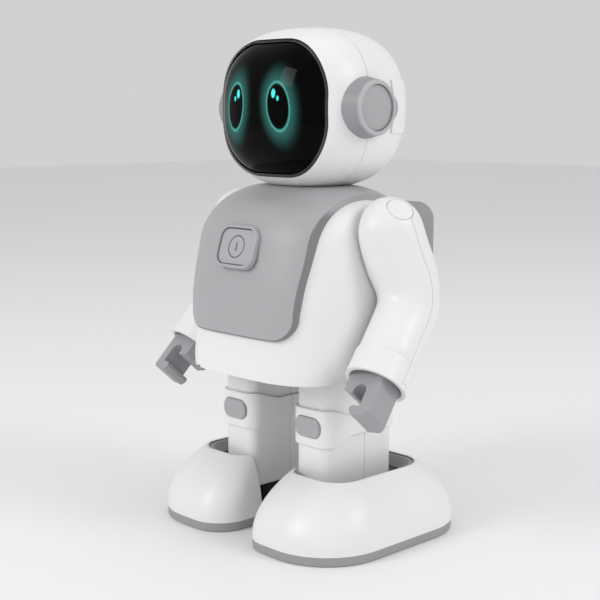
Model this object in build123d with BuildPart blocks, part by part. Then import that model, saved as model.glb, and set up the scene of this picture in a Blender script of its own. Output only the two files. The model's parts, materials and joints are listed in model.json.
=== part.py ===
"""Dancing desk robot: closed plastic casings over servo joints.

Millimetres, +Z up. The robot faces -Y and +X is its own left. The origin is on the floor under the middle.
Every piece of the left side is built once and mirrored across the YZ plane for the right side.
"""
import os
from math import cos, pi, radians, sin

from build123d import *

# Driving dimensions
WALL = 2.2                # thickness of the plastic casings
GAP = 0.35                # clearance between two pieces that move against each other
PLAY = 0.05               # radial running clearance of a shaft in its bore
SHAFT_R = 5.0             # every joint shaft
TIP_R = 3.0               # the splined end of a shaft, inside its servo
SEAM, SEAM_DEPTH = 0.3, 0.6  # the fine groove where two halves of a casing meet

HEAD_HALF = (46.5, 41.5, 41.2)
HEAD_CENTRE = (0, -3.5, 220.8)
HEAD_EXPONENT = 2.6
HEAD_FLAT_Z = 181.6       # the flat under the head
HEAD_SEAM_Y = -9.0
VISOR_HALF = (39.5, 34.6)
VISOR_CORNER = 29.0
BAND_Z = (208.5, 235.0)
BAND_START_Y = 8.0
BEZEL_WIDTH = 1.6
BEZEL_INSET, LENS_INSET, LENS_BACK = 0.8, 1.3, 4.0   # how far each lies inside the head's surface

EAR_Y, EAR_Z = -9.5, 221.2
EAR_BASE_R, EAR_TIP_R, EAR_TIP_OFFSET = 17.8, 6.0, 30.0
EAR_RING_R, EAR_CAP_R = 13.7, 11.2
EAR_OUT_X = 52.6

HEM_Z = 86.0
HEM_EXPONENT = 3.6        # how square the torso is in plan at its hem
TORSO_SEAM_Y = 9.0
# height, half width, front y, rear y, squareness in plan
TORSO_SECTIONS = [
    (86.0, 50.5, -57.8, 34.0, HEM_EXPONENT),
    (101.0, 50.0, -57.6, 34.0, 3.6),
    (118.0, 49.2, -56.7, 34.0, 3.6),
    (135.0, 48.3, -55.1, 33.5, 3.6),
    (149.0, 47.6, -52.5, 32.5, 3.5),
    (158.5, 47.0, -49.3, 31.0, 3.3),
    (166.0, 45.8, -44.8, 28.5, 2.9),
    (171.5, 43.6, -38.8, 25.0, 2.6),
    (175.4, 39.8, -31.8, 20.0, 2.3),
    (178.0, 33.0, -24.0, 13.5, 2.2),
    (179.1, 23.0, -16.5, 7.5, 2.1),
]
PLATE_PROUD, PLATE_EDGE_R = 2.4, 1.0
PLATE_Z = 107.4           # the plate's lower edge on the chest
YOKE_Z = 171.0            # the plate's lower edge on the back
BASE_Z = (93.0, 96.0)
BASE_HALF = (46.4, 42.0)
BASE_CENTRE_Y = -11.85
BASE_SCREWS = [(x, y) for x in (-36, 0, 36) for y in (-40, 12)]

BUTTON_Z, BUTTON_Y, BUTTON_LEAN = 151.7, -54.2, 18.0
BUTTON_SIZE = (24.8, 18.3)
BUTTON_TRAVEL = 1.5

PACK_HALF_X, PACK_REAR_Y, PACK_Z = 31.0, 64.0, (93.5, 170.5)
PACK_SPLIT_Y = 54.0

SHOULDER = (54.0, -3.0, 157.0)
ARM_INNER_X = 49.4        # the flat inner face of the arm, beside the torso
# centre and radius of the arm from the shoulder to the wrist
ARM_PATH = [
    ((54.6, -3.0, 160.0), 17.4),
    ((58.0, 0.5, 146.0), 17.2),
    ((61.6, 2.9, 134.0), 16.4),
    ((64.2, 0.5, 121.5), 15.4),
    ((66.3, -9.4, 109.5), 15.0),
    ((68.0, -19.4, 98.2), 15.3),
]
CUFF_PROUD, CUFF_LENGTH = 0.4, 13.5
CAP_LEAN, CAP_TURN, CAP_R = 42.0, -18.0, 7.0   # the round cap on the shoulder: degrees from upright, then about Z
HAND_SIZE = (19.6, 17.0, 21.4)
THUMB_GAP_R = 3.8         # the arch between the hand's two jaws
JAW_Z = (10.4, 16.6)      # the open mouth between the jaws, measured from the wrist

LEG_X, LEG_Y = 28.1, -6.5
LEG_HALF = (11.85, 25.5)
LEG_Z = (18.0, 88.0)
LEG_CORNER, LEG_SEAM_Y = 6.0, -4.0
KNEE_PROUD = 1.7

FOOT_X, FOOT_Y = (8.0, 72.0), (-64.0, 51.0)
FOOT_CORNERS = (18.0, 34.0, 34.0, 22.0)      # front inner, front outer, rear outer, rear inner
RIM_X, RIM_Y = (15.5, 56.0), (-40.0, 29.5)
RIM_CORNERS = (12.0, 16.0, 16.0, 12.0)
SOLE_Z, RIM_Z = 5.0, 36.0
CUTAWAY_Y = (-32.5, 22.0)
ANKLE_Z = 15.0


def finish(builder, name):
    """Label a finished piece and write it."""
    builder.part.label = name
    export_step(builder.part, f"parts/{name}.step")


def finish_pair(builder, name):
    """Write the left piece and its mirror image on the right."""
    finish(builder, f"left_{name}")
    with BuildPart() as other:
        add(mirror(builder.part, about=Plane.YZ, mode=Mode.PRIVATE))
    finish(other, f"right_{name}")


def superellipse(half_u, half_v, exponent, count=36):
    """Points round a superellipse, evenly spaced in angle."""
    points = []
    for i in range(count):
        c, s = cos(2 * pi * i / count), sin(2 * pi * i / count)
        reach = (abs(c / half_u) ** exponent + abs(s / half_v) ** exponent) ** (-1 / exponent)
        points.append((reach * c, reach * s))
    return points


def smooth_section(plane, half_u, half_v, exponent):
    """One closed smooth section of a loft."""
    with BuildSketch(plane) as section:
        with BuildLine():
            Spline(*superellipse(half_u, half_v, exponent), periodic=True)
        make_face()
    return section.sketch


def head_form(inset):
    """The head as one smooth solid, made smaller all round by the inset."""
    half = [size - inset for size in HEAD_HALF]
    steps = 16
    with BuildPart() as form:
        for i in range(steps + 1):
            slope = radians(-84 + 168 * i / steps)
            c, s = cos(slope), sin(slope)
            reach = (abs(c) ** HEAD_EXPONENT + abs(s) ** HEAD_EXPONENT) ** (-1 / HEAD_EXPONENT)
            level = HEAD_CENTRE[2] + half[2] * reach * s
            plane = Plane((0, HEAD_CENTRE[1], level))
            add(smooth_section(plane, half[0] * reach * c, half[1] * reach * c, HEAD_EXPONENT))
        loft()
    return form.part


def torso_form(inset, lowest=HEM_Z):
    """The torso as one smooth solid, made smaller all round by the inset."""
    with BuildPart() as form:
        for level, half_x, front, rear, exponent in TORSO_SECTIONS:
            drop = inset if level > 150 else 0
            height = lowest if level == HEM_Z else level - drop
            plane = Plane((0, (front + rear) / 2, height))
            half_y = (rear - front) / 2
            add(smooth_section(plane, half_x - inset, half_y - inset, exponent))
        loft()
    return form.part


def visor_outline(inset):
    """The rounded-square visor outline on the XZ plane, in front of the head."""
    with BuildSketch(Plane.XZ.offset(80)) as outline:
        with Locations((0, HEAD_CENTRE[2])):
            size = (2 * (VISOR_HALF[0] - inset), 2 * (VISOR_HALF[1] - inset))
            RectangleRounded(*size, VISOR_CORNER - inset)
    return outline.sketch


def visor_prism(inset, depth=70):
    """Everything behind the visor outline, as far as the depth."""
    with BuildPart() as prism:
        extrude(visor_outline(inset), amount=-depth)
    return prism.part


def rounded_corners(span_x, span_y, radii):
    """A rectangle with its own radius at each corner: front inner, front outer, rear outer, rear inner."""
    (x0, x1), (y0, y1) = span_x, span_y
    corners = [(x0, y0), (x1, y0), (x1, y1), (x0, y1)]
    with BuildSketch(mode=Mode.PRIVATE) as outline:
        with BuildLine():
            Polyline(*corners, close=True)
        make_face()
        for (x, y), radius in zip(corners, radii):
            nearest = outline.vertices().sort_by_distance((x, y, 0))[0]
            fillet(nearest, radius)
    return outline.sketch


def slab(span_x, span_y, span_z):
    """A plain box between the given limits."""
    size = [b - a for a, b in (span_x, span_y, span_z)]
    centre = [(a + b) / 2 for a, b in (span_x, span_y, span_z)]
    return Pos(*centre) * Box(*size, mode=Mode.PRIVATE)


def rod(plane, radius, start, end):
    """A solid cylinder along the plane's normal, between two distances from its origin."""
    seat = (Align.CENTER, Align.CENTER, Align.MIN)
    return plane.offset(start) * Cylinder(radius, end - start, align=seat, mode=Mode.PRIVATE)


# ---------------------------------------------------------------- head
head_outer = head_form(0)
head_inner = head_form(WALL)
head_front_half = slab((-60, 60), (-80, HEAD_SEAM_Y), (HEAD_FLAT_Z, 270))
head_rear_half = slab((-60, 60), (HEAD_SEAM_Y, 60), (HEAD_FLAT_Z, 270))
head_floor = slab((-24, 24), (-24, 17), (HEAD_FLAT_Z, HEAD_FLAT_Z + WALL))
neck_plane = Plane((0, HEAD_CENTRE[1], 0))
ear_plane = Plane((0, EAR_Y, EAR_Z), x_dir=(0, 1, 0), z_dir=(1, 0, 0))


def ear_section(offset, big_radius, tip_radius, tip_offset, count=48):
    """An egg outline that points to the rear: a circle and a smaller one behind it, joined by tangents."""
    lean = (big_radius - tip_radius) / tip_offset if tip_offset else 0
    points = []
    for i in range(count):
        angle = 2 * pi * i / count
        c, s = cos(angle), abs(sin(angle))
        reach = big_radius
        if tip_offset:
            tangent = (1 - lean * lean) ** 0.5
            along = big_radius / (lean * c + tangent * s)
            tip = tip_offset * c + max(tip_radius ** 2 - (tip_offset * s) ** 2, 0) ** 0.5
            on_front = c < lean
            past_tip = c > 0 and along * c > tip_offset + tip_radius * lean
            reach = big_radius if on_front else (tip if past_tip else along)
        points.append((reach * cos(angle), reach * sin(angle)))
    with BuildSketch(ear_plane.offset(offset)) as section:
        with BuildLine():
            Spline(*points, periodic=True)
        make_face()
    return section.sketch


with BuildPart() as ear_body:
    add(ear_section(36.0, EAR_BASE_R, EAR_TIP_R, EAR_TIP_OFFSET))
    add(ear_section(EAR_OUT_X - 0.8, EAR_RING_R, EAR_RING_R, 0))
    loft(ruled=True)

with BuildPart() as ear_ring:
    with BuildSketch(Plane((0, EAR_Y, EAR_Z), x_dir=(0, 0, 1), z_dir=(0, 1, 0))) as ring_profile:
        ring_width = EAR_RING_R - EAR_CAP_R - 0.5
        with Locations((EAR_RING_R - 0.2 - ring_width / 2, EAR_OUT_X - 0.9)):
            Rectangle(ring_width, 1.8)
        fillet(ring_profile.vertices().group_by(Axis.X)[-1], 0.75)
    revolve(axis=Axis((0, EAR_Y, EAR_Z), (1, 0, 0)))

with BuildPart() as ear_housing:
    add(ear_body.part)
    add(rod(ear_plane, EAR_CAP_R + 0.3, EAR_OUT_X - 2.4, EAR_OUT_X + 1), mode=Mode.SUBTRACT)
    add(ear_ring.part)
    add(head_outer, mode=Mode.SUBTRACT)
finish_pair(ear_housing, "ear_housing")

with BuildPart() as ear_cap:
    cap_dome_r = 48.0
    add(rod(ear_plane, EAR_CAP_R, EAR_OUT_X - 2.4, EAR_OUT_X + 0.5))
    dome = Pos(EAR_OUT_X + 0.1 - cap_dome_r, EAR_Y, EAR_Z) * Sphere(cap_dome_r, mode=Mode.PRIVATE)
    add(dome, mode=Mode.INTERSECT)
finish_pair(ear_cap, "ear_cap")

with BuildPart() as band_blank:
    add(head_form(-0.9))
    add(head_form(1.0), mode=Mode.SUBTRACT)
    add(slab((-60, 60), (BAND_START_Y, 60), BAND_Z), mode=Mode.INTERSECT)

with BuildPart() as head_front_shell:
    add(head_outer)
    add(head_inner, mode=Mode.SUBTRACT)
    add(head_floor & head_outer)
    add(head_front_half, mode=Mode.INTERSECT)
    add(visor_prism(0), mode=Mode.SUBTRACT)
    add(rod(neck_plane, 8.0, HEAD_FLAT_Z - 1, HEAD_FLAT_Z + 4), mode=Mode.SUBTRACT)
finish(head_front_shell, "head_front_shell")

head_groove = slab((-60, 60), (HEAD_SEAM_Y, HEAD_SEAM_Y + SEAM), (170, 270)) - head_form(SEAM_DEPTH)
with BuildPart() as head_rear_shell:
    add(head_outer)
    add(head_inner, mode=Mode.SUBTRACT)
    add(head_floor & head_outer)
    add(head_rear_half, mode=Mode.INTERSECT)
    add(band_blank.part, mode=Mode.SUBTRACT)
    add(head_groove, mode=Mode.SUBTRACT)
    add(rod(neck_plane, 8.0, HEAD_FLAT_Z - 1, HEAD_FLAT_Z + 4), mode=Mode.SUBTRACT)
finish(head_rear_shell, "head_rear_shell")

with BuildPart() as head_rear_band:
    add(band_blank.part)
    add(ear_body.part, mode=Mode.SUBTRACT)
    add(mirror(ear_body.part, about=Plane.YZ, mode=Mode.PRIVATE), mode=Mode.SUBTRACT)
finish(head_rear_band, "head_rear_band")

lens_outer, lens_inner = head_form(LENS_INSET), head_form(LENS_BACK)
with BuildPart() as visor_lens:
    add(lens_outer)
    add(lens_inner, mode=Mode.SUBTRACT)
    add(visor_prism(BEZEL_WIDTH), mode=Mode.INTERSECT)
finish(visor_lens, "visor_lens")

with BuildPart() as visor_bezel:
    add(head_form(BEZEL_INSET))
    add(lens_inner, mode=Mode.SUBTRACT)
    add(visor_prism(0), mode=Mode.INTERSECT)
    add(visor_prism(BEZEL_WIDTH), mode=Mode.SUBTRACT)
finish(visor_bezel, "visor_bezel")

with BuildPart() as display_board:
    with BuildSketch(Plane.XZ.offset(32.0)):
        with Locations((0, HEAD_CENTRE[2])):
            RectangleRounded(52, 44, 4)
    extrude(amount=-1.6)
    with BuildSketch(Plane.XZ.offset(34.5)):
        with Locations((0, HEAD_CENTRE[2])):
            Rectangle(46, 34)
    extrude(amount=-2.5)
finish(display_board, "display_board")

with BuildPart() as neck_shaft:
    top = HEAD_FLAT_Z + WALL
    add(rod(neck_plane, 14.0, top, top + 3.0))
    add(rod(neck_plane, SHAFT_R, 172.0, top))
    add(rod(neck_plane, TIP_R, 163.5, 172.0))
finish(neck_shaft, "neck_shaft")


# ---------------------------------------------------------------- torso
torso_outer = torso_form(0)
torso_inner = torso_form(WALL, HEM_Z - 5)
shaft_plane = Plane((0, SHOULDER[1], SHOULDER[2]), x_dir=(0, 1, 0), z_dir=(1, 0, 0))
lean_dir = (0, -cos(radians(BUTTON_LEAN)), sin(radians(BUTTON_LEAN)))
button_plane = Plane((0, BUTTON_Y, BUTTON_Z), x_dir=(1, 0, 0), z_dir=lean_dir)


def button_block(grow, start, end, corner=5.0):
    """A rounded block on the button's leaning plane, larger than the button by the growth all round."""
    with BuildPart() as block:
        with BuildSketch(button_plane.offset(start)):
            RectangleRounded(BUTTON_SIZE[0] + 2 * grow, BUTTON_SIZE[1] + 2 * grow, corner + grow)
        extrude(amount=end - start)
    return block.part


button_hole = button_block(GAP, -12, 12)

with BuildPart() as bib_prism:
    with BuildSketch(Plane.XZ.offset(-50)):
        with BuildLine():
            side = [(39.4, 124), (40.2, 134), (41.2, 145), (41.4, 156), (40.6, 167), (40.0, 190)]
            start = Line((0, PLATE_Z), (27.4, PLATE_Z))
            corner = TangentArc(start @ 1, (39.1, 119.5), tangent=start % 1)
            edge = Spline(corner @ 1, *side, tangents=[corner % 1, (0, 1)])
            Polyline(edge @ 1, (0, 190), (0, PLATE_Z))
        make_face()
        mirror(about=Plane.YZ)
    extrude(amount=140)

with BuildPart() as yoke_prism:
    with BuildSketch(Plane.YZ.offset(-60)):
        with BuildLine():
            Polyline((-90, 90), (TORSO_SEAM_Y, 90), (TORSO_SEAM_Y, YOKE_Z), (60, YOKE_Z), (60, 190), (-90, 190),
                     close=True)
        make_face()
    extrude(amount=120)

with BuildPart() as chest_plate:
    add(torso_form(-PLATE_PROUD))
    add(torso_outer, mode=Mode.SUBTRACT)
    add(bib_prism.part, mode=Mode.INTERSECT)
    add(yoke_prism.part, mode=Mode.INTERSECT)
    fillet(chest_plate.faces().sort_by(SortBy.AREA)[-1].edges(), PLATE_EDGE_R)
    add(button_hole, mode=Mode.SUBTRACT)
    add(rod(neck_plane, 8.0, 170, 190), mode=Mode.SUBTRACT)
finish(chest_plate, "chest_plate")

with BuildPart() as torso_front_shell:
    add(torso_outer)
    add(torso_inner, mode=Mode.SUBTRACT)
    add(rod(neck_plane, 9.0, 171.0, 178.5))
    add(rod(shaft_plane, 9.0, 38.5, 46) & torso_outer)
    add(rod(shaft_plane, 9.0, -46, -38.5) & torso_outer)
    add(slab((-60, 60), (-70, TORSO_SEAM_Y), (HEM_Z - 1, 190)), mode=Mode.INTERSECT)
    add(button_hole, mode=Mode.SUBTRACT)
    add(rod(neck_plane, SHAFT_R + PLAY, 165, 190), mode=Mode.SUBTRACT)
    add(rod(shaft_plane, SHAFT_R + PLAY, -60, 60), mode=Mode.SUBTRACT)
    with BuildSketch(Plane.XY.offset(HEM_Z)):
        with Locations((-33, -54)):
            RectangleRounded(9, 3.2, 1)
    extrude(amount=1.4, mode=Mode.SUBTRACT)
finish(torso_front_shell, "torso_front_shell")

torso_groove = slab((-60, 60), (TORSO_SEAM_Y, TORSO_SEAM_Y + SEAM), (HEM_Z - 1, 190)) - torso_form(SEAM_DEPTH)
with BuildPart() as torso_rear_shell:
    add(torso_outer)
    add(torso_inner, mode=Mode.SUBTRACT)
    add(slab((-60, 60), (TORSO_SEAM_Y, 60), (HEM_Z - 1, 190)), mode=Mode.INTERSECT)
    add(torso_groove, mode=Mode.SUBTRACT)
    with BuildSketch(Plane.XZ.offset(-40)):
        with Locations((0, 132)):
            RectangleRounded(36, 40, 4)
    extrude(amount=20, mode=Mode.SUBTRACT)
finish(torso_rear_shell, "torso_rear_shell")

with BuildPart() as base_plate:
    with BuildSketch(Plane.XY.offset(BASE_Z[0])):
        add(Pos(0, BASE_CENTRE_Y) * smooth_section(Plane.XY, *BASE_HALF, HEM_EXPONENT))
    extrude(amount=BASE_Z[1] - BASE_Z[0])
    with Locations((LEG_X, LEG_Y, 0), (-LEG_X, LEG_Y, 0)):
        Cylinder(SHAFT_R + PLAY, 400, mode=Mode.SUBTRACT)
    with Locations(*[(x, y, BASE_Z[0]) for x, y in BASE_SCREWS]):
        Cylinder(1.3, 400, mode=Mode.SUBTRACT)
        Cylinder(2.7, 2.4, mode=Mode.SUBTRACT)
finish(base_plate, "base_plate")

with BuildPart() as base_screws:
    with Locations(*[(x, y, BASE_Z[0]) for x, y in BASE_SCREWS]):
        with Locations((0, 0, 0.6)):
            Cylinder(2.6, 1.2)
        with Locations((0, 0, 4.6)):
            Cylinder(1.2, 7.0)
    with Locations(*[(x, y, BASE_Z[0]) for x, y in BASE_SCREWS]):
        Box(2.6, 0.6, 0.9, mode=Mode.SUBTRACT)
        Box(0.6, 2.6, 0.9, mode=Mode.SUBTRACT)
finish(base_screws, "base_screws")

with BuildPart() as button_bezel:
    add(button_block(1.9, 0, 3.0))
    bezel_top = button_bezel.faces().filter_by(GeomType.PLANE).sort_by(Axis(button_plane.origin, lean_dir))[-1]
    fillet(bezel_top.edges(), 0.9)
    add(torso_form(-PLATE_PROUD), mode=Mode.SUBTRACT)
    add(button_hole, mode=Mode.SUBTRACT)
finish(button_bezel, "button_bezel")

with BuildPart() as power_button:
    add(button_block(0, -4.0, 2.2))
    button_face = power_button.faces().filter_by(GeomType.PLANE).sort_by(Axis(button_plane.origin, lean_dir))[-1]
    fillet(button_face.edges(), 0.5)
    with BuildSketch(button_plane.offset(2.2)):
        Circle(5.9)
        Circle(5.3, mode=Mode.SUBTRACT)
        SlotOverall(4.6, 0.8, rotation=90)
    extrude(amount=-0.35, mode=Mode.SUBTRACT)
    add(rod(button_plane, 2.5, -7.0, -4.0))
finish(power_button, "power_button")

board_plane = button_plane.offset(-14.4)
with BuildPart() as main_board:
    with BuildSketch(board_plane):
        with Locations((0, -10)):
            RectangleRounded(60, 40, 2)
    extrude(amount=1.6)
    with BuildSketch(board_plane.offset(-2.5)):
        with Locations((-12, -12), (14, -16)):
            Rectangle(14, 14)
    extrude(amount=2.5)
finish(main_board, "main_board")

with BuildPart() as power_switch:
    with BuildSketch(board_plane.offset(1.6)):
        Rectangle(6, 6)
    extrude(amount=3.0)
    with BuildSketch(board_plane.offset(4.6)):
        Circle(1.7)
    extrude(amount=0.9)
finish(power_switch, "power_switch")

SHELF_Z = (140.0, 143.0)
with BuildPart() as chassis:
    add(slab((-40, 40), (14.0, 16.5), (BASE_Z[1], SHELF_Z[1])))
    add(slab((-40, 40), (-19, 14.0), SHELF_Z))
    with BuildSketch(Plane.XZ.offset(-10)):
        with Locations((-20, 118), (20, 118)):
            RectangleRounded(20, 24, 3)
    extrude(amount=-10, mode=Mode.SUBTRACT)
finish(chassis, "chassis")

with BuildPart() as neck_servo:
    add(slab((-11.5, 11.5), (-16, 9), (SHELF_Z[1], 168.0)))
    fillet(neck_servo.edges().filter_by(Axis.Z), 1.5)
    add(rod(neck_plane, TIP_R + PLAY, 163.0, 169), mode=Mode.SUBTRACT)
finish(neck_servo, "neck_servo")

with BuildPart() as shoulder_servo:
    add(slab((15.0, 37.5), (-15, 9), (SHELF_Z[1], 165.0)))
    fillet(shoulder_servo.edges().filter_by(Axis.X), 1.5)
    add(rod(shaft_plane, TIP_R + PLAY, 31.0, 38), mode=Mode.SUBTRACT)
finish_pair(shoulder_servo, "shoulder_servo")

hip_plane = Plane((LEG_X, LEG_Y, 0))
with BuildPart() as hip_servo:
    add(slab((LEG_X - 11.5, LEG_X + 11.5), (LEG_Y - 12, LEG_Y + 16), (BASE_Z[1], 120.0)))
    fillet(hip_servo.edges().filter_by(Axis.Z), 1.5)
    add(rod(hip_plane, SHAFT_R + 0.6, 95, 99.0), mode=Mode.SUBTRACT)
    add(rod(hip_plane, TIP_R + PLAY, 98, 106.0), mode=Mode.SUBTRACT)
finish_pair(hip_servo, "hip_servo")

with BuildPart() as battery_pack:
    with BuildSketch(Plane.XY.offset(100)):
        with Locations((0, 24)):
            SlotOverall(35, 14)
    extrude(amount=50)
finish(battery_pack, "battery_pack")


# ---------------------------------------------------------------- backpack
def pack_block(inset):
    """The rounded backpack block, made smaller all round by the inset."""
    half = PACK_HALF_X - inset
    with BuildPart() as block:
        add(slab((-half, half), (10, PACK_REAR_Y - inset), (PACK_Z[0] + inset, PACK_Z[1] - inset)))
        fillet(block.edges().filter_by(Axis.Y), 10 - inset)
        fillet(block.faces().sort_by(Axis.Y)[-1].edges(), 6.5 - inset)
    return block.part


with BuildPart() as backpack_shell:
    add(pack_block(0))
    add(pack_block(2.0), mode=Mode.SUBTRACT)
    add(torso_outer, mode=Mode.SUBTRACT)
    add(chest_plate.part, mode=Mode.SUBTRACT)
    add(slab((-60, 60), (0, PACK_SPLIT_Y), (80, 180)), mode=Mode.INTERSECT)
    with BuildSketch(Plane.XY.offset(PACK_Z[0] - 1)):
        with Locations((0, 48)):
            RectangleRounded(11, 5.2, 2.5)
    extrude(amount=5, mode=Mode.SUBTRACT)
finish(backpack_shell, "backpack_shell")

GRILLE_Z = 138.0
with BuildPart() as backpack_cover:
    add(pack_block(0))
    add(pack_block(2.0), mode=Mode.SUBTRACT)
    add(slab((-60, 60), (PACK_SPLIT_Y, 80), (80, 180)), mode=Mode.INTERSECT)
    with BuildSketch(Plane.XZ.offset(-PACK_REAR_Y - 1)):
        for ring, holes in ((0, 1), (4.4, 6), (8.8, 12), (13.2, 18)):
            with Locations((0, GRILLE_Z)):
                with PolarLocations(ring, holes):
                    Circle(1.15)
    extrude(amount=5, mode=Mode.SUBTRACT)
finish(backpack_cover, "backpack_cover")

with BuildPart() as loudspeaker:
    with BuildSketch(Plane.YZ):
        with BuildLine():
            Polyline((61.6, 138), (61.6, 155), (59.6, 155), (52.5, 147), (52.5, 149), (44, 149), (44, 138), close=True)
        make_face()
    revolve(axis=Axis((0, 0, GRILLE_Z), (0, 1, 0)))
finish(loudspeaker, "loudspeaker")

with BuildPart() as charge_port:
    port_plane = Plane((0, 48, PACK_Z[0] + 2.0), x_dir=(1, 0, 0), z_dir=(0, 0, -1))
    with BuildSketch(port_plane.offset(-5)):
        RectangleRounded(11, 5.2, 2.5)
    extrude(amount=7.0 - 0.2)
    with BuildSketch(port_plane.offset(1.8)):
        RectangleRounded(9, 3.2, 1.55)
    extrude(amount=-5, mode=Mode.SUBTRACT)
    add(slab((-3.2, 3.2), (47.65, 48.35), (PACK_Z[0] + 1.2, PACK_Z[0] + 6)))
finish(charge_port, "charge_port")


# ---------------------------------------------------------------- arms and hands
def arm_direction(i):
    """Unit direction of the arm's centreline at one of its points."""
    before, after = ARM_PATH[max(i - 1, 0)][0], ARM_PATH[min(i + 1, len(ARM_PATH) - 1)][0]
    return (Vector(*after) - Vector(*before)).normalized()


forearm = arm_direction(len(ARM_PATH) - 1)
elbow_side = Vector(*ARM_PATH[-1][0])
wrist = elbow_side + forearm * CUFF_LENGTH
hand_x = (Vector(1, 0, 0) - forearm * forearm.X).normalized()


def wrist_plane(distance):
    """The plane across the forearm, at a distance beyond the cuff's end."""
    return Plane(wrist + forearm * distance, x_dir=hand_x, z_dir=forearm)


def arm_form(inset, cuff_end):
    """The solid arm with its shoulder dome and cuff, made smaller all round by the inset."""
    with BuildPart() as form:
        top, top_radius = Vector(*ARM_PATH[0][0]), ARM_PATH[0][1] - inset
        down = arm_direction(0)
        for rise in (84, 68, 52, 36, 18):
            point = top - down * top_radius * sin(radians(rise))
            with BuildSketch(Plane(point, x_dir=Vector(1, 0, 0) - down * down.X, z_dir=down)):
                Circle(top_radius * cos(radians(rise)))
        for i, (point, radius) in enumerate(ARM_PATH):
            direction = arm_direction(i)
            across = Vector(1, 0, 0) - direction * direction.X
            with BuildSketch(Plane(point, x_dir=across, z_dir=direction)):
                Circle(radius - inset)
        loft()
        cuff_radius = ARM_PATH[-1][1] + CUFF_PROUD - inset
        with BuildSketch(wrist_plane(-CUFF_LENGTH)):
            Circle(cuff_radius)
        with BuildSketch(wrist_plane(cuff_end)):
            Circle(cuff_radius)
        loft()
    return form.part


seam_side = [Vector(0, point[1], point[2]) for point, _ in ARM_PATH]
seam_jog = Vector(0, wrist.Y, wrist.Z) - Vector(0, forearm.Y, forearm.Z) * 4.0
with BuildPart() as arm_front_zone:
    with BuildSketch(Plane.YZ.offset(40)):
        seam = [(p.Y, p.Z) for p in seam_side]
        jog_start = (seam_jog.Y, seam_jog.Z)
        jog_end = (seam_jog.Y + 3.5, seam_jog.Z - 2.2)
        far_end = (jog_end[0] - 12, jog_end[1] - 15)
        with BuildLine():
            upper = Spline((seam[0][0], 185), seam[0], *seam[1:-1], seam[-1])
            Polyline(upper @ 1, jog_start, jog_end, far_end, (-80, 60), (-80, 185), upper @ 0)
        make_face()
    extrude(amount=60)

cap_flat = (ARM_PATH[0][1] ** 2 - CAP_R ** 2) ** 0.5     # where the dome is just as wide as the cap
lean, turn = radians(CAP_LEAN), radians(CAP_TURN)
cap_dir = (sin(lean) * cos(turn), sin(lean) * sin(turn), cos(lean))
cap_plane = Plane(Vector(*ARM_PATH[0][0]), x_dir=(0, 1, 0), z_dir=cap_dir)
with BuildPart() as shoulder_cap:
    add(rod(cap_plane, CAP_R - SEAM, cap_flat - 1.6, cap_flat + 0.25))
    cap_face = shoulder_cap.faces().sort_by(Axis(ARM_PATH[0][0], cap_dir))[-1]
    fillet(cap_face.edges(), 0.3)
finish_pair(shoulder_cap, "shoulder_cap")

arm_outer = arm_form(0, 0)
arm_inner = arm_form(2.0, 1.0)
wrist_wall = rod(wrist_plane(0), ARM_PATH[-1][1] - 0.3, -8.0, -5.5)
arm_zone = slab((ARM_INNER_X, 110), (-80, 60), (40, 200))
with BuildPart() as arm_whole:
    add(arm_outer)
    add(arm_inner & slab((ARM_INNER_X + 2.0, 110), (-80, 60), (40, 200)), mode=Mode.SUBTRACT)
    add(arm_zone, mode=Mode.INTERSECT)
    add(wrist_wall)
    add(rod(wrist_plane(0), 4.0, -20, 5), mode=Mode.SUBTRACT)
    add(rod(cap_plane, CAP_R, cap_flat - 1.6, cap_flat + 15), mode=Mode.SUBTRACT)
    add(rod(shaft_plane, SHAFT_R, 40, 53), mode=Mode.SUBTRACT)

arm_groove = (Pos(0, SEAM, 0) * arm_front_zone.part) - arm_front_zone.part - arm_form(SEAM_DEPTH, 0)

with BuildPart() as arm_front_shell:
    add(arm_whole.part)
    add(arm_front_zone.part, mode=Mode.INTERSECT)
finish_pair(arm_front_shell, "arm_front_shell")

with BuildPart() as arm_rear_shell:
    add(arm_whole.part)
    add(arm_front_zone.part, mode=Mode.SUBTRACT)
    add(arm_groove, mode=Mode.SUBTRACT)
finish_pair(arm_rear_shell, "arm_rear_shell")

with BuildPart() as shoulder_hub:
    add(rod(shaft_plane, TIP_R, 31.5, 38.0))
    add(rod(shaft_plane, SHAFT_R, 38.0, ARM_INNER_X + 2.0))
    add(rod(shaft_plane, 10.0, ARM_INNER_X + 2.0, ARM_INNER_X + 5.0))
finish_pair(shoulder_hub, "shoulder_hub")

with BuildPart() as hand:
    half_w, thick, length = HAND_SIZE[0] / 2, HAND_SIZE[1], HAND_SIZE[2]
    arch_y = -8.6
    grip_plane = Plane(wrist_plane(0).origin, x_dir=hand_x, z_dir=hand_x.cross(forearm * -1))
    with BuildSketch(grip_plane.offset(-thick / 2)) as grip:
        with BuildLine():
            Polyline((-half_w, 3), (half_w, 3), (half_w, -length + 3), (half_w - 2.2, -length),
                     (0, -length), (-2, -length + 2.8), (-0.9, -JAW_Z[1]), (THUMB_GAP_R, -JAW_Z[1]),
                     (THUMB_GAP_R, arch_y), (-THUMB_GAP_R, arch_y), (-THUMB_GAP_R, -JAW_Z[0]),
                     (-half_w, arch_y + 0.4), close=True)
        make_face()
        jaw_corners = [corner for corner in grip.vertices() if corner.Y < arch_y - 1 and corner.X < half_w / 2]
        fillet(jaw_corners, 0.8)
        with Locations((0, arch_y)):
            Circle(THUMB_GAP_R, mode=Mode.SUBTRACT)
    extrude(amount=thick)
    outer_edges = hand.edges().filter_by(Axis(wrist, forearm)).sort_by(Axis(wrist, hand_x))[-2:]
    chamfer(outer_edges, 1.0)
    add(rod(wrist_plane(0), 4.0 - PLAY, -14.0, -2.0))
    add(rod(wrist_plane(0), 6.5, -5.0, -2.0))
finish_pair(hand, "hand")


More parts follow.
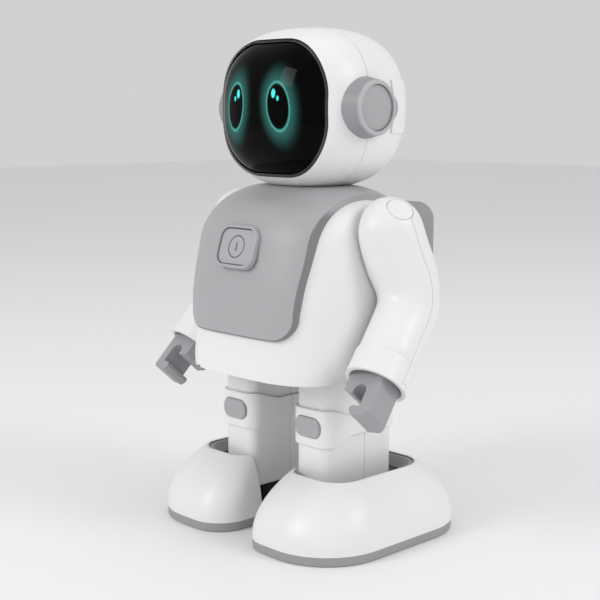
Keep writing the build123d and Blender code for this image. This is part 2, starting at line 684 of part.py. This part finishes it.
# ---------------------------------------------------------------- legs
leg_plane = Plane((LEG_X, LEG_Y, 0))


def leg_column(inset, start, end):
    """The upright leg tube as a solid block, made smaller all round by the inset."""
    with BuildPart() as column:
        with BuildSketch(leg_plane.offset(start)):
            RectangleRounded(2 * (LEG_HALF[0] - inset), 2 * (LEG_HALF[1] - inset), LEG_CORNER - inset)
        extrude(amount=end - start)
    return column.part


front_y, rear_y = LEG_Y - LEG_HALF[1], LEG_Y + LEG_HALF[1]
with BuildPart() as knee_band:
    add(leg_column(-KNEE_PROUD, 40, 80))
    with BuildSketch(Plane.YZ) as band_side:
        with BuildLine():
            Polyline((front_y - 4, 50.5), (front_y - 4, 70), (front_y + 4, 70), (front_y + 17, 65.5),
                     (rear_y + 4, 65.5), (rear_y + 4, 55), (front_y + 17, 55), (front_y + 4, 50.5), close=True)
        make_face()
        fillet(band_side.vertices(), 1.5)
    extrude(amount=60, mode=Mode.INTERSECT)
    fillet(knee_band.faces().sort_by(Axis.Z)[-1].edges() + knee_band.faces().sort_by(Axis.Z)[0].edges(), 0.5)

knee_plane = Plane((LEG_X, front_y, 60.5), x_dir=(1, 0, 0), z_dir=(0, -1, 0))
with BuildPart() as knee_pad:
    with BuildSketch(knee_plane.offset(0.2)):
        RectangleRounded(17.4, 10.6, 4.4)
    extrude(amount=KNEE_PROUD + 0.7)
    fillet(knee_pad.faces().sort_by(Axis.Y)[0].edges(), 0.8)
finish_pair(knee_pad, "knee_pad")

with BuildPart() as leg_whole:
    add(leg_column(0, *LEG_Z))
    fillet(leg_whole.faces().sort_by(Axis.Z)[0].edges(), 0.8)
    add(knee_band.part)
    with BuildSketch(knee_plane.offset(0.2)):
        RectangleRounded(17.8, 11.0, 4.6)
    extrude(amount=5, mode=Mode.SUBTRACT)
    add(leg_column(2.0, 0, 100), mode=Mode.SUBTRACT)

with BuildPart() as leg_front_shell:
    add(leg_whole.part)
    add(slab((0, 60), (-60, LEG_SEAM_Y), (0, 100)), mode=Mode.INTERSECT)
finish_pair(leg_front_shell, "leg_front_shell")

leg_groove = slab((0, 60), (LEG_SEAM_Y, LEG_SEAM_Y + SEAM), (0, 100)) - leg_column(SEAM_DEPTH, 0, 100)
with BuildPart() as leg_rear_shell:
    add(leg_whole.part)
    add(slab((0, 60), (LEG_SEAM_Y, 60), (0, 100)), mode=Mode.INTERSECT)
    add(leg_groove, mode=Mode.SUBTRACT)
finish_pair(leg_rear_shell, "leg_rear_shell")

with BuildPart() as hip_bracket:
    add(leg_column(2.0, 82.0, 86.0))
    add(rod(leg_plane, 9.0, 86.0, 92.5))
    add(rod(leg_plane, SHAFT_R, 92.5, 98.5))
    add(rod(leg_plane, TIP_R, 98.5, 104.5))
finish_pair(hip_bracket, "hip_bracket")

ankle_plane = Plane((LEG_X, LEG_Y, ANKLE_Z), x_dir=(1, 0, 0), z_dir=(0, -1, 0))
with BuildPart() as ankle_yoke:
    add(leg_column(2.0, 27.0, 30.0))
    for y in (LEG_Y - 19.0, LEG_Y + 14.5):
        add(slab((LEG_X - 6, LEG_X + 6), (y, y + 4.5), (ANKLE_Z, 27.0)))
        add(rod(ankle_plane, 6.0, LEG_Y - y - 4.5, LEG_Y - y))
    add(rod(ankle_plane, TIP_R + PLAY, -30, 30), mode=Mode.SUBTRACT)
finish_pair(ankle_yoke, "ankle_yoke")

with BuildPart() as ankle_servo:
    add(slab((LEG_X - 7.3, LEG_X + 7.3), (LEG_Y - 14, LEG_Y + 14), (SOLE_Z, 23.5)))
    fillet(ankle_servo.edges().filter_by(Axis.Y).group_by(Axis.Z)[-1], 2.0)
    add(rod(ankle_plane, TIP_R, -20.5, 20.5))
finish_pair(ankle_servo, "ankle_servo")


# ---------------------------------------------------------------- feet
def foot_outline(rise, inset):
    """The foot's outline at a part of the way up, 0 at the sole and 1 at the rim."""
    blend = rise ** 2.2

    def between(low, high):
        return low + (high - low) * blend

    span_x = (between(FOOT_X[0], RIM_X[0]) + inset, between(FOOT_X[1], RIM_X[1]) - inset)
    span_y = (between(FOOT_Y[0], RIM_Y[0]) + inset, between(FOOT_Y[1], RIM_Y[1]) - inset)
    radii = [between(low, high) - inset for low, high in zip(FOOT_CORNERS, RIM_CORNERS)]
    return rounded_corners(span_x, span_y, radii)


def foot_form(inset, below, above):
    """The solid foot from sole to rim, made smaller all round, with a stretch added at each end."""
    with BuildPart() as form:
        rises = [0, 0.16, 0.32, 0.48, 0.64, 0.8, 0.92, 1]
        for rise in rises:
            stretch = {0: -below, 1: above}.get(rise, 0)
            add(Pos(0, 0, SOLE_Z + (RIM_Z - SOLE_Z) * rise + stretch) * foot_outline(rise, inset))
        loft()
    return form.part


cutaway = slab((0, RIM_X[0] + 2.5), CUTAWAY_Y, (9.0, 50))
with BuildPart() as foot_shell:
    add(foot_form(0, 0, 0))
    add(foot_form(2.0, 1.0, 0.5), mode=Mode.SUBTRACT)
    add(cutaway, mode=Mode.SUBTRACT)
finish_pair(foot_shell, "foot_shell")

LINER_Z = (30.0, 35.2)
with BuildPart() as liner_hole:
    for level, margin in ((LINER_Z[0] - 0.1, 6.4), (LINER_Z[1] + 0.1, 3.4)):
        span_x = (RIM_X[0] + margin, RIM_X[1] - margin)
        span_y = (RIM_Y[0] + margin, RIM_Y[1] - margin)
        add(Pos(0, 0, level) * rounded_corners(span_x, span_y, [r - margin * 0.4 for r in RIM_CORNERS]))
    loft(ruled=True)

with BuildPart() as foot_liner:
    add(foot_form(2.15, 0, 0))
    add(slab((0, 90), (-80, 60), LINER_Z), mode=Mode.INTERSECT)
    add(liner_hole.part, mode=Mode.SUBTRACT)
    add(slab((0, RIM_X[0] + 18), (CUTAWAY_Y[0] - 0.8, CUTAWAY_Y[1]), (9.0, 50)), mode=Mode.SUBTRACT)
finish_pair(foot_liner, "foot_liner")

with BuildPart() as foot_sole:
    add(rounded_corners((FOOT_X[0] + 0.2, FOOT_X[1] - 0.2), (FOOT_Y[0] + 0.2, FOOT_Y[1] - 0.2),
                        [r - 0.2 for r in FOOT_CORNERS]))
    extrude(amount=SOLE_Z)
    fillet(foot_sole.faces().sort_by(Axis.Z)[0].edges(), 1.0)
finish_pair(foot_sole, "foot_sole")
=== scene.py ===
"""Dancing desk robot in a small pale studio. Metres, the robot faces -Y."""
import json
import math

import bpy
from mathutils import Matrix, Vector


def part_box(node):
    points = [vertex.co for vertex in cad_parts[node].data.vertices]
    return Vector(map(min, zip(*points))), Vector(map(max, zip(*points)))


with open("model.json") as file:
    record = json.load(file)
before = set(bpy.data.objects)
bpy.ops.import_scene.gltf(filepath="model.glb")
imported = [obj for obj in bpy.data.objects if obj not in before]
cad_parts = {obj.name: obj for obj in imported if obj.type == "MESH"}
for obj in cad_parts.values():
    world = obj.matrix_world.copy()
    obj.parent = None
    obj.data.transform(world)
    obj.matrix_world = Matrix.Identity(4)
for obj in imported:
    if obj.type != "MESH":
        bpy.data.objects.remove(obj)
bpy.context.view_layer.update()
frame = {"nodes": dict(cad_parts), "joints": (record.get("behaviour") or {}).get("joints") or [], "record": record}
SLOT_OF = {part["node"]: part["material_slot"] for part in frame["record"]["subparts"]}

PLASTIC_IOR = 1.49
PLATE_GREY = (0.40, 0.405, 0.415)     # linear RGB, as every colour here


# ---------------------------------------------------------------- shader helpers
class Recipe:
    """A node material under construction, with short calls for the nodes used here."""

    MIX_INPUTS = (0, 6, 7)            # a mix node's sockets in its colour mode: amount, first, second
    MIX_RESULT = 2

    def __init__(self, name):
        self.material = bpy.data.materials.new(name)
        self.material.use_nodes = True
        self.tree = self.material.node_tree
        self.shader = self.tree.nodes["Principled BSDF"]
        self.place = self.node("ShaderNodeTexCoord").outputs["Object"]

    def node(self, kind, **settings):
        made = self.tree.nodes.new(kind)
        for key, value in settings.items():
            setattr(made, key, value)
        return made

    def feed(self, socket, value):
        """Link another node's output to a socket, or set a plain value on it."""
        if isinstance(value, bpy.types.NodeSocket):
            self.tree.links.new(value, socket)
        else:
            socket.default_value = value

    def math(self, operation, a, b=0.0):
        made = self.node("ShaderNodeMath", operation=operation)
        for socket, value in zip(made.inputs, (a, b)):
            self.feed(socket, value)
        return made.outputs[0]

    def length(self, a, b):
        """Length of the two-part vector a, b."""
        squares = (self.math("MULTIPLY", part, part) for part in (a, b))
        return self.math("SQRT", self.math("ADD", *squares))

    def axes(self):
        split = self.node("ShaderNodeSeparateXYZ")
        self.feed(split.inputs[0], self.place)
        return split.outputs

    def noise(self, scale, detail=3.0):
        made = self.node("ShaderNodeTexNoise")
        self.feed(made.inputs["Vector"], self.place)
        made.inputs["Scale"].default_value = scale
        made.inputs["Detail"].default_value = detail
        return made.outputs["Fac"]

    def band(self, value, low, high, start=0.0, end=1.0):
        """Maps a value smoothly from the range low..high to start..end."""
        made = self.node("ShaderNodeMapRange", interpolation_type="SMOOTHSTEP")
        for key, setting in (("Value", value), ("From Min", low), ("From Max", high),
                             ("To Min", start), ("To Max", end)):
            self.feed(made.inputs[key], setting)
        return made.outputs["Result"]

    def mix(self, amount, a, b):
        made = self.node("ShaderNodeMix", data_type="RGBA")
        for index, value in zip(self.MIX_INPUTS, (amount, a, b)):
            self.feed(made.inputs[index], value)
        return made.outputs[self.MIX_RESULT]

    def bump(self, height, strength, distance):
        made = self.node("ShaderNodeBump")
        for key, value in (("Height", height), ("Strength", strength), ("Distance", distance)):
            self.feed(made.inputs[key], value)
        return made.outputs["Normal"]

    def surface(self, **inputs):
        for key, value in inputs.items():
            self.feed(self.shader.inputs[key.replace("_", " ")], value)
        return self.material


def tone(colour, factor):
    return tuple(min(channel * factor, 1.0) for channel in colour) + (1.0,)


def moulded(recipe, colour, rough, drift=0.02, grain=2600.0, depth=0.00002):
    """Moulded plastic: slow drift of tone and gloss, under a fine spark-eroded grain."""
    tone_scale, gloss_scale = 22.0, 60.0
    glossier, duller = 0.04, 0.05
    slow = recipe.noise(tone_scale, 2.0)
    base = recipe.mix(slow, tone(colour, 1 - drift), tone(colour, 1 + drift))
    gloss = recipe.band(recipe.noise(gloss_scale, 4.0), 0.3, 0.7, rough - glossier, rough + duller)
    relief = recipe.bump(recipe.noise(grain, 2.0), strength=0.25, distance=depth)
    return base, gloss, relief


# ---------------------------------------------------------------- materials
def white_shell():
    recipe = Recipe("white_shell")
    base, gloss, relief = moulded(recipe, (0.84, 0.842, 0.846), rough=0.42, drift=0.012)
    return recipe.surface(Base_Color=base, Roughness=gloss, Normal=relief, Coat_Weight=0.2,
                          Coat_Roughness=0.34, IOR=PLASTIC_IOR)


def grey_plate():
    recipe = Recipe("grey_plate")
    base, gloss, relief = moulded(recipe, PLATE_GREY, rough=0.42, grain=2200.0)
    return recipe.surface(Base_Color=base, Roughness=gloss, Normal=relief, Coat_Weight=0.1,
                          Coat_Roughness=0.35, IOR=PLASTIC_IOR)


def chest_plate_painted_shade():
    """The plate's plastic, with painted shade: darker along its side walls and lower edge."""
    low_half, high_half = 0.0391, 0.0413           # the plate's half width, low and high on the chest
    narrow_below, wide_above = 0.012, 0.045        # heights over its lower edge
    corner = 0.012
    paint_starts, paint_full = 0.0011, 0.0007      # distances inside its outline
    fade_starts, fade_ends = 0.004, 0.012          # distances below its highest point
    recipe = Recipe("chest_plate")
    base, gloss, relief = moulded(recipe, PLATE_GREY, rough=0.42, grain=2200.0)
    low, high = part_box("chest_plate")
    x, _, z = recipe.axes()
    widest = recipe.band(z, low.z + narrow_below, low.z + wide_above, low_half, high_half)
    across = recipe.math("SUBTRACT", recipe.math("ABSOLUTE", x),
                         recipe.math("SUBTRACT", widest, corner))
    down = recipe.math("SUBTRACT", low.z + corner, z)
    reach = recipe.length(*(recipe.math("MAXIMUM", side, 0.0) for side in (across, down)))
    # painted shade: the plate's side walls and lower edge are darkened as if they stood in shade
    edge = recipe.band(reach, corner - paint_starts, corner - paint_full)
    lower = recipe.band(z, high.z - fade_starts, high.z - fade_ends)
    # the dark grey of the painted shade on the plate's walls and lower edge
    base = recipe.mix(recipe.math("MULTIPLY", edge, lower), base, (0.20, 0.203, 0.21, 1))
    return recipe.surface(Base_Color=base, Roughness=gloss, Normal=relief, Coat_Weight=0.1,
                          Coat_Roughness=0.35, IOR=PLASTIC_IOR)


def grey_trim():
    recipe = Recipe("grey_trim")
    base, gloss, relief = moulded(recipe, (0.30, 0.305, 0.315), rough=0.45, drift=0.025, grain=2000.0)
    return recipe.surface(Base_Color=base, Roughness=gloss, Normal=relief, IOR=PLASTIC_IOR)


def ear_finish():
    """The ears' plastic, with a paler ring round each cap."""
    ring_outside, ring_inside = 0.0142, 0.0137     # radii between which the ring's colour comes in
    ring_starts, ring_full = 0.0016, 0.0008        # depths below the cap's outermost point
    recipe = Recipe("ear_housing")
    base, gloss, relief = moulded(recipe, (0.29, 0.295, 0.305), rough=0.45, drift=0.025, grain=2000.0)
    low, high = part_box("left_ear_cap")
    x, y, z = recipe.axes()
    along = recipe.math("SUBTRACT", y, (low.y + high.y) / 2)
    up = recipe.math("SUBTRACT", z, (low.z + high.z) / 2)
    outermost = recipe.band(recipe.math("ABSOLUTE", x), high.x - ring_starts, high.x - ring_full)
    near = recipe.band(recipe.length(along, up), ring_outside, ring_inside)
    base = recipe.mix(recipe.math("MULTIPLY", outermost, near), base, (0.47, 0.475, 0.485, 1))
    return recipe.surface(Base_Color=base, Roughness=gloss, Normal=relief, IOR=PLASTIC_IOR)


def hand_grey():
    recipe = Recipe("hand_grey")
    base, gloss, relief = moulded(recipe, (0.35, 0.355, 0.365), rough=0.5, drift=0.03,
                                  grain=1700.0, depth=0.00003)
    return recipe.surface(Base_Color=base, Roughness=gloss, Normal=relief, IOR=PLASTIC_IOR)


def bezel_dark():
    recipe = Recipe("bezel_dark")
    base, gloss, relief = moulded(recipe, (0.024, 0.025, 0.028), rough=0.3, drift=0.05)
    return recipe.surface(Base_Color=base, Roughness=gloss, Normal=relief, Coat_Weight=0.4,
                          Coat_Roughness=0.15, IOR=1.5)


def sole_grey():
    """Matt rubber, with a tread of small bars on the underside."""
    bar_pitch = 0.004
    tread_ends, tread_full = 0.0012, 0.0004        # heights over the ground
    recipe = Recipe("sole_grey")
    base, gloss, _ = moulded(recipe, (0.33, 0.335, 0.34), rough=0.72, drift=0.04)
    _, y, z = recipe.axes()
    bars = recipe.math("SINE", recipe.math("MULTIPLY", y, 2 * math.pi / bar_pitch))
    tread = recipe.math("MULTIPLY", bars, recipe.band(z, tread_ends, tread_full))
    pores = recipe.math("MULTIPLY", recipe.noise(1400.0, 3.0), 0.4)
    relief = recipe.bump(recipe.math("ADD", tread, pores), strength=0.5, distance=0.0001)
    return recipe.surface(Base_Color=base, Roughness=gloss, Normal=relief, IOR=1.5)


def eye_light(recipe):
    """Colour and strength of the two lit eyes, mirrored about the middle of the face."""
    low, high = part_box("visor_lens")
    lift = 0.001                                   # the eyes' centre over the lens's middle
    x, _, z = recipe.axes()
    side = recipe.math("ABSOLUTE", x)
    rise = recipe.math("SUBTRACT", z, (low.z + high.z) / 2 + lift)

    def ellipse(centre, height, half_width, half_height, lean=0.0):
        """Distance from an ellipse's centre as a share of its size: 1 on its edge."""
        across = recipe.math("ADD", recipe.math("SUBTRACT", side, centre),
                             recipe.math("MULTIPLY", rise, lean))
        up = recipe.math("SUBTRACT", rise, height)
        return recipe.length(recipe.math("DIVIDE", across, half_width),
                             recipe.math("DIVIDE", up, half_height))

    eye = ellipse(centre=0.0157, height=0.0, half_width=0.0070, half_height=0.0121, lean=0.087)
    big_dot = ellipse(centre=0.0130, height=0.0064, half_width=0.0013, half_height=0.0023)
    small_dot = ellipse(centre=0.0158, height=0.0040, half_width=0.0008, half_height=0.0013)
    dots = recipe.math("MAXIMUM", recipe.band(big_dot, 1.2, 0.8), recipe.band(small_dot, 1.25, 0.75))
    outside = recipe.band(eye, 0.86, 0.98)         # the dark of the eye itself stays unlit
    outline = recipe.math("MULTIPLY", outside, recipe.band(eye, 1.09, 0.99))
    halo = recipe.math("POWER", recipe.math("MULTIPLY", outside, recipe.band(eye, 2.1, 0.95)), 1.7)
    colour = recipe.mix(outline, (0.04, 0.17, 0.15, 1), (0.06, 0.32, 0.28, 1))
    colour = recipe.mix(dots, colour, (0.08, 0.80, 0.74, 1))
    halo_power, outline_power, dot_power = 0.75, 0.45, 1.2
    power = recipe.math("ADD", recipe.math("MULTIPLY", halo, halo_power),
                        recipe.math("MULTIPLY", outline, outline_power))
    power = recipe.math("MAXIMUM", power, recipe.math("MULTIPLY", dots, dot_power))
    uneven = recipe.math("ADD", 0.85, recipe.math("MULTIPLY", recipe.noise(900.0, 1.0), 0.3))
    return colour, recipe.math("MULTIPLY", power, uneven)


def visor_black():
    """High gloss lens with two lit eyes behind it."""
    recipe = Recipe("visor_black")
    colour, power = eye_light(recipe)
    smudge = recipe.band(recipe.noise(35.0, 4.0), 0.35, 0.75, 0.05, 0.11)
    base = recipe.mix(recipe.noise(15.0, 1.0), (0.0007, 0.0008, 0.001, 1), (0.0014, 0.0015, 0.0018, 1))
    return recipe.surface(Base_Color=base, Roughness=smudge, Emission_Color=colour,
                          Emission_Strength=power, IOR=1.13)


def power_button_finish():
    """The chest plate's plastic, with the dark paint of the sign in its engraved lines."""
    paint_starts, paint_full = 0.0001, 0.0003      # depths below the button's face
    sign_outside, sign_inside = 0.0068, 0.0063     # the sign's half width, with its soft limit
    recipe = Recipe("power_button")
    press = next(joint["axis"] for joint in frame["joints"] if joint["name"] == "power_button_press")
    out = -Vector(press)
    face = max(vertex.co.dot(out) for vertex in frame["nodes"]["power_button"].data.vertices)
    base, gloss, relief = moulded(recipe, (0.41, 0.415, 0.425), rough=0.4, grain=2200.0)
    x, _, _ = recipe.axes()
    forward = recipe.node("ShaderNodeVectorMath", operation="DOT_PRODUCT")
    recipe.feed(forward.inputs[0], recipe.place)
    recipe.feed(forward.inputs[1], out)
    sunk = recipe.band(forward.outputs["Value"], face - paint_starts, face - paint_full)
    near = recipe.band(recipe.math("ABSOLUTE", x), sign_outside, sign_inside)
    paint = recipe.math("MULTIPLY", recipe.math("MULTIPLY", sunk, near), 0.9)
    base = recipe.mix(paint, base, (0.07, 0.072, 0.078, 1))
    return recipe.surface(Base_Color=base, Roughness=gloss, Normal=relief, IOR=PLASTIC_IOR)


def inner_dark():
    recipe = Recipe("inner_dark")
    base, gloss, relief = moulded(recipe, (0.05, 0.051, 0.055), rough=0.6, drift=0.08,
                                  grain=1500.0, depth=0.00004)
    return recipe.surface(Base_Color=base, Roughness=gloss, Normal=relief)


def servo_black():
    recipe = Recipe("servo_black")
    base, gloss, relief = moulded(recipe, (0.02, 0.021, 0.024), rough=0.5, drift=0.1,
                                  grain=1800.0, depth=0.00004)
    return recipe.surface(Base_Color=base, Roughness=gloss, Normal=relief)


def circuit():
    """Green solder mask over fine copper tracks."""
    recipe = Recipe("circuit")
    tracks = recipe.node("ShaderNodeTexBrick")
    recipe.feed(tracks.inputs["Vector"], recipe.place)
    tracks.inputs["Scale"].default_value = 220.0
    tracks.inputs["Mortar Size"].default_value = 0.06
    lines = recipe.band(tracks.outputs["Fac"], 0.2, 0.8)
    base = recipe.mix(lines, (0.012, 0.10, 0.05, 1), (0.05, 0.22, 0.11, 1))
    relief = recipe.bump(lines, strength=0.4, distance=0.00005)
    return recipe.surface(Base_Color=base, Roughness=0.35, Normal=relief)


def steel():
    recipe = Recipe("steel")
    base = recipe.mix(recipe.noise(120.0, 4.0), (0.52, 0.52, 0.54, 1), (0.66, 0.66, 0.67, 1))
    gloss = recipe.band(recipe.noise(500.0, 4.0), 0.3, 0.7, 0.24, 0.4)
    return recipe.surface(Base_Color=base, Roughness=gloss, Metallic=1.0)


def battery_wrap():
    recipe = Recipe("battery_wrap")
    base, gloss, relief = moulded(recipe, (0.04, 0.11, 0.30), rough=0.28, drift=0.1,
                                  grain=300.0, depth=0.0002)
    return recipe.surface(Base_Color=base, Roughness=gloss, Normal=relief)


def dress():
    """Give every CAD node the finish of its material slot, and four of them a finish of their own, the chest
    plate's with painted shade along its edges.
    """
    made = {build.__name__: build() for build in (
        white_shell, grey_plate, grey_trim, hand_grey, bezel_dark, sole_grey, visor_black,
        inner_dark, servo_black, circuit, steel, battery_wrap)}
    for name, node in frame["nodes"].items():
        node.data.materials.clear()
        node.data.materials.append(made[SLOT_OF[name]])
    ears = ear_finish()
    # the chest plate's material carries painted shade along its edges
    special = {"power_button": power_button_finish(), "chest_plate": chest_plate_painted_shade(),
               "left_ear_housing": ears, "right_ear_housing": ears}
    for name, material in special.items():
        frame["nodes"][name].data.materials[0] = material


# ---------------------------------------------------------------- studio
def floor():
    bpy.ops.mesh.primitive_plane_add(size=8.0)
    plane = bpy.context.object
    plane.name = "studio_floor"
    recipe = Recipe("studio_floor")
    base = recipe.mix(recipe.noise(3.0, 3.0), (0.90, 0.90, 0.905, 1), (0.93, 0.93, 0.935, 1))
    relief = recipe.bump(recipe.noise(900.0, 2.0), strength=0.1, distance=0.0001)
    plane.data.materials.append(recipe.surface(Base_Color=base, Roughness=0.6, Normal=relief))


def add_to_scene(name, data, place, target):
    """Link a lamp or camera to the scene at a place, turned to its target."""
    made = bpy.data.objects.new(name, data)
    bpy.context.scene.collection.objects.link(made)
    made.location = place
    made.rotation_euler = (Vector(target) - Vector(place)).to_track_quat("-Z", "Y").to_euler()
    return made


def area_light(name, place, size, watts):
    """A rectangular softbox turned to the robot's chest."""
    chest = (0, 0, 0.15)
    light = bpy.data.lights.new(name, "AREA")
    light.shape = "RECTANGLE"
    light.size, light.size_y = size
    light.energy = watts
    add_to_scene(name, light, place, chest).visible_camera = False


def studio():
    world = bpy.data.worlds.new("studio")
    bpy.context.scene.world = world
    world.use_nodes = True
    background = world.node_tree.nodes["Background"]
    background.inputs["Color"].default_value = (0.99, 0.993, 1.0, 1)
    background.inputs["Strength"].default_value = 0.64
    area_light("key", (-0.35, -1.25, 0.85), (0.5, 0.6), 6.5)
    area_light("rim", (1.45, 0.5, 1.1), (0.6, 0.9), 8.0)
    area_light("top", (0.1, 0.1, 1.3), (0.9, 0.9), 1.5)


def camera():
    """The view three quarters from the robot's left, a little above its chest."""
    lens = bpy.data.cameras.new("camera")
    lens.lens, lens.sensor_width = 73.5, 36.0
    lens.clip_start = 0.01
    place, target = (0.4631, -0.4575, 0.2184), (0, -0.012, 0.12054)
    bpy.context.scene.camera = add_to_scene("camera", lens, place, target)


dress()
floor()
studio()
camera()
bpy.context.scene.view_settings.view_transform = "Standard"
